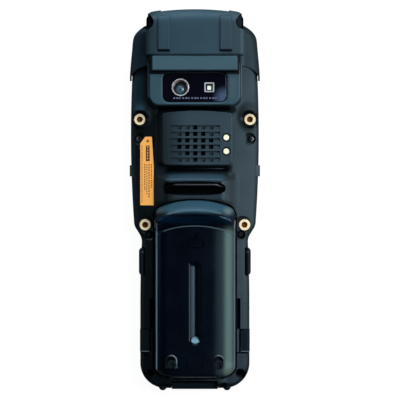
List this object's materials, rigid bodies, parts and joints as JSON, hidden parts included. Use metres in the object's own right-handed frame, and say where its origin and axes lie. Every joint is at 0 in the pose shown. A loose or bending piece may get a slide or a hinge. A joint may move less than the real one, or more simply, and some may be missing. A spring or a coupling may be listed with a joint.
{
  "type": "portable barcode data terminal",
  "caption": "Handheld barcode data terminal lying on its keypad side: ridged back, rear camera, speaker panel, strap recess, tilting battery, hinged covers and sprung keys.",
  "frame": {"origin": "centre of the overall box in plan, on the plane of the front rim that the terminal lies on", "axes": "+Z out of the back, +Y along the body towards the scanner head, +X across the body"},
  "size_m": [0.0684, 0.2, 0.031],
  "materials": {
    "shell": "fine textured dark slate plastic",
    "bumper": "soft-touch slate rubber",
    "bezel": "satin slate plastic",
    "cap": "fine textured near-black plastic",
    "cover": "satin blue-black plastic",
    "gasket": "black silicone",
    "lens_glass": "black backed glass",
    "lens": "coated lens",
    "ring": "turned and polished",
    "module": "black moulding",
    "led": "clear over phosphor",
    "gold": "gold plated contact",
    "brass": "knurled brass",
    "screw": "blackened steel",
    "label": "orange polyester film",
    "steel": "bright steel",
    "board": "green solder mask",
    "can": "tinned steel",
    "display": "display stack",
    "glass": "black bordered cover glass",
    "keycap": "moulded key",
    "rubber_lid": "soft rubber",
    "pack": "battery pack case",
    "window": "dark red filter",
    "mesh": "fine mesh"
  },
  "bodies": {
    "housing": {"rear_housing": "shell", "front_housing": "shell", "housing_gasket": "gasket", "top_bumper": "bumper", "bottom_cap": "cap", "camera_bezel": "bezel", "camera_glass": "lens_glass", "lens_ring": "ring", "camera_lens": "lens", "camera_module": "module", "flash_frame": "ring", "flash_led": "led", "speaker_panel": "shell", "speaker": "module", "grip_contacts": "gold", "threaded_inserts": "brass", "housing_screws": "screw", "label_plate": "label", "strap_bar": "steel", "battery_contacts": "gold", "main_board": "board", "shield_cans": "can", "display_module": "display", "touch_glass": "glass", "earpiece": "mesh", "keypad_mat": "gasket", "scan_engine": "module", "scan_window": "window", "dock_connector": "module", "usb_port": "can", "audio_jack": "module", "card_socket": "can", "vibration_motor": "can", "flap_pin": "steel"},
    "battery": {"battery_cover": "cover", "battery_pack": "pack"},
    "latch_left": {"battery_latch_left": "cap"},
    "latch_right": {"battery_latch_right": "cap"},
    "dock_flap": {"dock_flap": "rubber_lid"},
    "port_cover_left": {"port_cover_left": "rubber_lid"},
    "port_cover_right": {"port_cover_right": "rubber_lid"},
    "side_key_left": {"side_key_left": "keycap"},
    "side_key_right": {"side_key_right": "keycap"},
    "scan_key_left": {"scan_key_left": "keycap"},
    "scan_key_right": {"scan_key_right": "keycap"},
    "key_menu": {"key_menu": "keycap"},
    "key_scan_front": {"key_scan_front": "keycap"},
    "key_back": {"key_back": "keycap"},
    "key_1": {"key_1": "keycap"},
    "key_2": {"key_2": "keycap"},
    "key_3": {"key_3": "keycap"},
    "key_4": {"key_4": "keycap"},
    "key_5": {"key_5": "keycap"},
    "key_6": {"key_6": "keycap"},
    "key_7": {"key_7": "keycap"},
    "key_8": {"key_8": "keycap"},
    "key_9": {"key_9": "keycap"},
    "key_star": {"key_star": "keycap"},
    "key_0": {"key_0": "keycap"},
    "key_hash": {"key_hash": "keycap"}
  },
  "joints": [
    {"name": "battery_tilt", "type": "hinge", "parent": "housing", "child": "battery", "pos_m": [0, 0.0005, 0.0235], "axis": [-1, 0, 0], "range_deg": [0, 30]},
    {"name": "latch_left_slide", "type": "slide", "parent": "battery", "child": "latch_left", "axis": [0, 1, 0], "range_m": [0, 0.0015], "stiffness_N_per_m": 1200},
    {"name": "latch_right_slide", "type": "slide", "parent": "battery", "child": "latch_right", "axis": [0, 1, 0], "range_m": [0, 0.0015], "stiffness_N_per_m": 1200},
    {"name": "dock_flap_hinge", "type": "hinge", "parent": "housing", "child": "dock_flap", "pos_m": [0, -0.0969, 0.0143], "axis": [-1, 0, 0], "range_deg": [0, 95]},
    {"name": "port_cover_left_hinge", "type": "hinge", "parent": "housing", "child": "port_cover_left", "pos_m": [-0.02345, -0.07385, 0.0174], "axis": [0, 1, 0], "range_deg": [0, 100], "stiffness_Nm_per_rad": 0.004},
    {"name": "port_cover_right_hinge", "type": "hinge", "parent": "housing", "child": "port_cover_right", "pos_m": [0.02345, -0.07385, 0.0174], "axis": [0, -1, 0], "range_deg": [0, 100], "stiffness_Nm_per_rad": 0.004},
    {"name": "side_key_left_press", "type": "slide", "parent": "housing", "child": "side_key_left", "axis": [1, 0, 0], "range_m": [0, 0.0006], "stiffness_N_per_m": 2500},
    {"name": "side_key_right_press", "type": "slide", "parent": "housing", "child": "side_key_right", "axis": [-1, 0, 0], "range_m": [0, 0.0006], "stiffness_N_per_m": 2500},
    {"name": "scan_key_left_press", "type": "slide", "parent": "housing", "child": "scan_key_left", "axis": [1, 0, 0], "range_m": [0, 0.0006], "stiffness_N_per_m": 2500},
    {"name": "scan_key_right_press", "type": "slide", "parent": "housing", "child": "scan_key_right", "axis": [-1, 0, 0], "range_m": [0, 0.0006], "stiffness_N_per_m": 2500},
    {"name": "key_menu_press", "type": "slide", "parent": "housing", "child": "key_menu", "axis": [0, 0, 1], "range_m": [0, 0.0005], "stiffness_N_per_m": 2500},
    {"name": "key_scan_front_press", "type": "slide", "parent": "housing", "child": "key_scan_front", "axis": [0, 0, 1], "range_m": [0, 0.0005], "stiffness_N_per_m": 2500},
    {"name": "key_back_press", "type": "slide", "parent": "housing", "child": "key_back", "axis": [0, 0, 1], "range_m": [0, 0.0005], "stiffness_N_per_m": 2500},
    {"name": "key_1_press", "type": "slide", "parent": "housing", "child": "key_1", "axis": [0, 0, 1], "range_m": [0, 0.0005], "stiffness_N_per_m": 2500},
    {"name": "key_2_press", "type": "slide", "parent": "housing", "child": "key_2", "axis": [0, 0, 1], "range_m": [0, 0.0005], "stiffness_N_per_m": 2500},
    {"name": "key_3_press", "type": "slide", "parent": "housing", "child": "key_3", "axis": [0, 0, 1], "range_m": [0, 0.0005], "stiffness_N_per_m": 2500},
    {"name": "key_4_press", "type": "slide", "parent": "housing", "child": "key_4", "axis": [0, 0, 1], "range_m": [0, 0.0005], "stiffness_N_per_m": 2500},
    {"name": "key_5_press", "type": "slide", "parent": "housing", "child": "key_5", "axis": [0, 0, 1], "range_m": [0, 0.0005], "stiffness_N_per_m": 2500},
    {"name": "key_6_press", "type": "slide", "parent": "housing", "child": "key_6", "axis": [0, 0, 1], "range_m": [0, 0.0005], "stiffness_N_per_m": 2500},
    {"name": "key_7_press", "type": "slide", "parent": "housing", "child": "key_7", "axis": [0, 0, 1], "range_m": [0, 0.0005], "stiffness_N_per_m": 2500},
    {"name": "key_8_press", "type": "slide", "parent": "housing", "child": "key_8", "axis": [0, 0, 1], "range_m": [0, 0.0005], "stiffness_N_per_m": 2500},
    {"name": "key_9_press", "type": "slide", "parent": "housing", "child": "key_9", "axis": [0, 0, 1], "range_m": [0, 0.0005], "stiffness_N_per_m": 2500},
    {"name": "key_star_press", "type": "slide", "parent": "housing", "child": "key_star", "axis": [0, 0, 1], "range_m": [0, 0.0005], "stiffness_N_per_m": 2500},
    {"name": "key_0_press", "type": "slide", "parent": "housing", "child": "key_0", "axis": [0, 0, 1], "range_m": [0, 0.0005], "stiffness_N_per_m": 2500},
    {"name": "key_hash_press", "type": "slide", "parent": "housing", "child": "key_hash", "axis": [0, 0, 1], "range_m": [0, 0.0005], "stiffness_N_per_m": 2500}
  ]
}
